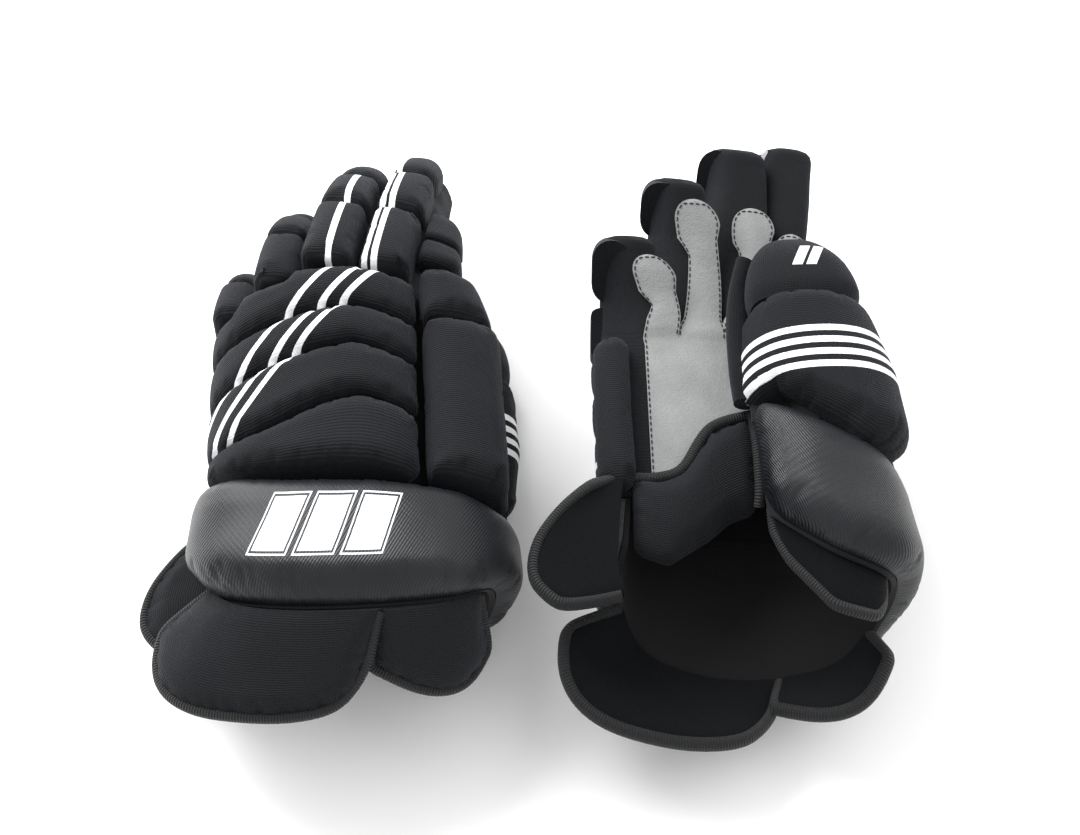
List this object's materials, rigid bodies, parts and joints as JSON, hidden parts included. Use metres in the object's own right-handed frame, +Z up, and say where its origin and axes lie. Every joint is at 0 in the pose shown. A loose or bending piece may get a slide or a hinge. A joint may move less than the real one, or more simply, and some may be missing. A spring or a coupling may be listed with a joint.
{
  "type": "hockey gloves",
  "caption": "Pair of padded ice hockey gloves, one palm down and one palm up, with rolled backs, hinged fingers, flared cuffs and flaps.",
  "frame": {"origin": "on the ground, under the middle of the pair's outline", "axes": "+Z up, +Y towards the fingertips, +X towards the right-hand glove"},
  "size_m": [0.346, 0.3198, 0.1059],
  "materials": {
    "knit_fabric": "near-black ribbed knit over foam, matt, with printed white stripes",
    "coated_twill": "charcoal coated diagonal twill with a satin sheen",
    "palm_leather": "light grey suede-like synthetic leather, matt, with dark edge stitching",
    "lining": "black brushed lining fabric, matt"
  },
  "bodies": {
    "left_hand": {"left_hand_liner": "lining", "left_palm": "palm_leather", "left_knuckle_roll_1": "knit_fabric", "left_knuckle_roll_2": "knit_fabric", "left_knuckle_roll_3": "knit_fabric", "left_knuckle_roll_4": "knit_fabric", "left_side_block": "knit_fabric", "left_side_wedge": "knit_fabric", "left_little_side_pad": "knit_fabric", "left_heel_strap": "knit_fabric"},
    "left_index_base_segment": {"left_index_base": "knit_fabric", "left_index_side_guard": "knit_fabric"},
    "left_index_end_segments": {"left_index_middle": "knit_fabric", "left_index_tip": "knit_fabric"},
    "left_middle_base_segment": {"left_middle_base": "knit_fabric"},
    "left_middle_end_segments": {"left_middle_middle": "knit_fabric", "left_middle_tip": "knit_fabric"},
    "left_ring_base_segment": {"left_ring_base": "knit_fabric"},
    "left_ring_end_segments": {"left_ring_middle": "knit_fabric", "left_ring_tip": "knit_fabric"},
    "left_little_base_segment": {"left_little_base": "knit_fabric"},
    "left_little_end_segments": {"left_little_tip": "knit_fabric"},
    "left_thumb": {"left_thumb_stall": "lining", "left_thumb_pad": "knit_fabric"},
    "left_thumb_end": {"left_thumb_tip": "knit_fabric"},
    "left_cuff": {"left_cuff_liner": "lining", "left_cuff_roll": "coated_twill"},
    "left_back_flap": {"left_back_flap": "knit_fabric"},
    "left_thumb_side_flap": {"left_thumb_side_flap": "knit_fabric"},
    "left_little_side_flap": {"left_little_side_flap": "knit_fabric"},
    "right_hand": {"right_hand_liner": "lining", "right_palm": "palm_leather", "right_knuckle_roll_1": "knit_fabric", "right_knuckle_roll_2": "knit_fabric", "right_knuckle_roll_3": "knit_fabric", "right_knuckle_roll_4": "knit_fabric", "right_side_block": "knit_fabric", "right_side_wedge": "knit_fabric", "right_little_side_pad": "knit_fabric", "right_heel_strap": "knit_fabric"},
    "right_index_base_segment": {"right_index_base": "knit_fabric", "right_index_side_guard": "knit_fabric"},
    "right_index_end_segments": {"right_index_middle": "knit_fabric", "right_index_tip": "knit_fabric"},
    "right_middle_base_segment": {"right_middle_base": "knit_fabric"},
    "right_middle_end_segments": {"right_middle_middle": "knit_fabric", "right_middle_tip": "knit_fabric"},
    "right_ring_base_segment": {"right_ring_base": "knit_fabric"},
    "right_ring_end_segments": {"right_ring_middle": "knit_fabric", "right_ring_tip": "knit_fabric"},
    "right_little_base_segment": {"right_little_base": "knit_fabric"},
    "right_little_end_segments": {"right_little_tip": "knit_fabric"},
    "right_thumb": {"right_thumb_stall": "lining", "right_thumb_pad": "knit_fabric"},
    "right_thumb_end": {"right_thumb_tip": "knit_fabric"},
    "right_cuff": {"right_cuff_liner": "lining", "right_cuff_roll": "coated_twill"},
    "right_back_flap": {"right_back_flap": "knit_fabric"},
    "right_thumb_side_flap": {"right_thumb_side_flap": "knit_fabric"},
    "right_little_side_flap": {"right_little_side_flap": "knit_fabric"}
  },
  "joints": [
    {"name": "left_index_knuckle", "type": "hinge", "parent": "left_hand", "child": "left_index_base_segment", "pos_m": [-0.06931, 0.04244, 0.05536], "axis": [-0.9925, 0.1219, 0], "range_deg": [-4, 24]},
    {"name": "left_index_bend", "type": "hinge", "parent": "left_index_base_segment", "child": "left_index_end_segments", "pos_m": [-0.06506, 0.08087, 0.0486], "axis": [-0.9925, 0.1219, 0], "range_deg": [-4, 24]},
    {"name": "left_middle_knuckle", "type": "hinge", "parent": "left_hand", "child": "left_middle_base_segment", "pos_m": [-0.09621, 0.04396, 0.05649], "axis": [-0.9945, 0.1045, 0], "range_deg": [-4, 28]},
    {"name": "left_middle_bend", "type": "hinge", "parent": "left_middle_base_segment", "child": "left_middle_end_segments", "pos_m": [-0.09279, 0.08041, 0.05003], "axis": [-0.9945, 0.1045, 0], "range_deg": [-4, 28]},
    {"name": "left_ring_knuckle", "type": "hinge", "parent": "left_hand", "child": "left_ring_base_segment", "pos_m": [-0.12063, 0.03744, 0.05157], "axis": [-0.9994, 0.0349, 0], "range_deg": [-4, 28]},
    {"name": "left_ring_bend", "type": "hinge", "parent": "left_ring_base_segment", "child": "left_ring_end_segments", "pos_m": [-0.11986, 0.06483, 0.04694], "axis": [-0.9994, 0.0349, 0], "range_deg": [-4, 28]},
    {"name": "left_little_knuckle", "type": "hinge", "parent": "left_hand", "child": "left_little_base_segment", "pos_m": [-0.14192, 0.02627, 0.04187], "axis": [-0.9994, -0.0349, 0], "range_deg": [-4, 28]},
    {"name": "left_little_bend", "type": "hinge", "parent": "left_little_base_segment", "child": "left_little_end_segments", "pos_m": [-0.14268, 0.04681, 0.03687], "axis": [-0.9994, -0.0349, 0], "range_deg": [-4, 28]},
    {"name": "left_thumb_swing", "type": "hinge", "parent": "left_hand", "child": "left_thumb", "pos_m": [-0.0301, -0.04078, 0.027], "axis": [0, 0, 1], "range_deg": [-3, 4]},
    {"name": "left_thumb_bend", "type": "hinge", "parent": "left_thumb", "child": "left_thumb_end", "pos_m": [-0.01646, 0.03842, 0.019], "axis": [0, 0, -1], "range_deg": [0, 8]},
    {"name": "left_wrist_flex", "type": "hinge", "parent": "left_hand", "child": "left_cuff", "pos_m": [-0.0871, -0.0568, 0.063], "axis": [0.9976, 0.0698, 0], "range_deg": [-3, 6]},
    {"name": "left_back_flap_bend", "type": "hinge", "parent": "left_cuff", "child": "left_back_flap", "pos_m": [-0.0941, -0.11743, 0.076], "axis": [0.9358, -0.2115, 0.2822], "range_deg": [-4, 18]},
    {"name": "left_thumb_side_flap_bend", "type": "hinge", "parent": "left_cuff", "child": "left_thumb_side_flap", "pos_m": [-0.0342, -0.11625, 0.078], "axis": [0.7563, 0.3957, -0.521], "range_deg": [-4, 18]},
    {"name": "left_little_side_flap_bend", "type": "hinge", "parent": "left_cuff", "child": "left_little_side_flap", "pos_m": [-0.14166, -0.08066, 0.036], "axis": [0.0698, -0.9976, 0], "range_deg": [-5, 18]},
    {"name": "right_index_knuckle", "type": "hinge", "parent": "right_hand", "child": "right_index_base_segment", "pos_m": [0.11378, 0.0414, 0.05057], "axis": [0.9848, -0.1736, 0], "range_deg": [-4, 24]},
    {"name": "right_index_bend", "type": "hinge", "parent": "right_index_base_segment", "child": "right_index_end_segments", "pos_m": [0.12003, 0.07954, 0.05733], "axis": [0.9848, -0.1736, 0], "range_deg": [-4, 24]},
    {"name": "right_middle_knuckle", "type": "hinge", "parent": "right_hand", "child": "right_middle_base_segment", "pos_m": [0.08699, 0.04432, 0.04944], "axis": [0.9877, -0.1564, 0], "range_deg": [-4, 28]},
    {"name": "right_middle_bend", "type": "hinge", "parent": "right_middle_base_segment", "child": "right_middle_end_segments", "pos_m": [0.09232, 0.08054, 0.05589], "axis": [0.9877, -0.1564, 0], "range_deg": [-4, 28]},
    {"name": "right_ring_knuckle", "type": "hinge", "parent": "right_hand", "child": "right_ring_base_segment", "pos_m": [0.06226, 0.03908, 0.05436], "axis": [0.9962, -0.0872, 0], "range_deg": [-4, 28]},
    {"name": "right_ring_bend", "type": "hinge", "parent": "right_ring_base_segment", "child": "right_ring_end_segments", "pos_m": [0.06447, 0.0664, 0.05899], "axis": [0.9962, -0.0872, 0], "range_deg": [-4, 28]},
    {"name": "right_little_knuckle", "type": "hinge", "parent": "right_hand", "child": "right_little_base_segment", "pos_m": [0.04043, 0.02904, 0.06405], "axis": [0.9998, -0.0175, 0], "range_deg": [-4, 28]},
    {"name": "right_little_bend", "type": "hinge", "parent": "right_little_base_segment", "child": "right_little_end_segments", "pos_m": [0.04074, 0.0496, 0.06906], "axis": [0.9998, -0.0175, 0], "range_deg": [-4, 28]},
    {"name": "right_thumb_swing", "type": "hinge", "parent": "right_hand", "child": "right_thumb", "pos_m": [0.14857, -0.04377, 0.07893], "axis": [0, 0, 1], "range_deg": [-6, 4]},
    {"name": "right_thumb_bend", "type": "hinge", "parent": "right_thumb", "child": "right_thumb_end", "pos_m": [0.15334, 0.03675, 0.08693], "axis": [0, 0, -1], "range_deg": [0, 8]},
    {"name": "right_wrist_flex", "type": "hinge", "parent": "right_hand", "child": "right_cuff", "pos_m": [0.09082, -0.05678, 0.04293], "axis": [-0.9998, -0.0175, 0], "range_deg": [-3, 6]},
    {"name": "right_back_flap_bend", "type": "hinge", "parent": "right_cuff", "child": "right_back_flap", "pos_m": [0.08065, -0.11696, 0.02993], "axis": [-0.9234, 0.2601, 0.2822], "range_deg": [-4, 18]},
    {"name": "right_thumb_side_flap_bend", "type": "hinge", "parent": "right_cuff", "child": "right_thumb_side_flap", "pos_m": [0.14053, -0.11892, 0.02793], "axis": [-0.7759, -0.3556, -0.521], "range_deg": [-4, 18]},
    {"name": "right_little_side_flap_bend", "type": "hinge", "parent": "right_cuff", "child": "right_little_side_flap", "pos_m": [0.03508, -0.07776, 0.06993], "axis": [-0.0175, 0.9998, 0], "range_deg": [-5, 18]},
    {"name": "right_glove_lift", "type": "slide", "parent": "left_hand", "child": "right_hand", "axis": [0, 0, 1], "range_m": [0, 0.1]}
  ],
  "couplings": [
    {"joint": "left_index_bend", "follows": "left_index_knuckle", "ratio": 1},
    {"joint": "left_middle_bend", "follows": "left_middle_knuckle", "ratio": 1},
    {"joint": "left_ring_bend", "follows": "left_ring_knuckle", "ratio": 1},
    {"joint": "left_little_bend", "follows": "left_little_knuckle", "ratio": 1},
    {"joint": "right_index_bend", "follows": "right_index_knuckle", "ratio": 1},
    {"joint": "right_middle_bend", "follows": "right_middle_knuckle", "ratio": 1},
    {"joint": "right_ring_bend", "follows": "right_ring_knuckle", "ratio": 1},
    {"joint": "right_little_bend", "follows": "right_little_knuckle", "ratio": 1}
  ]
}
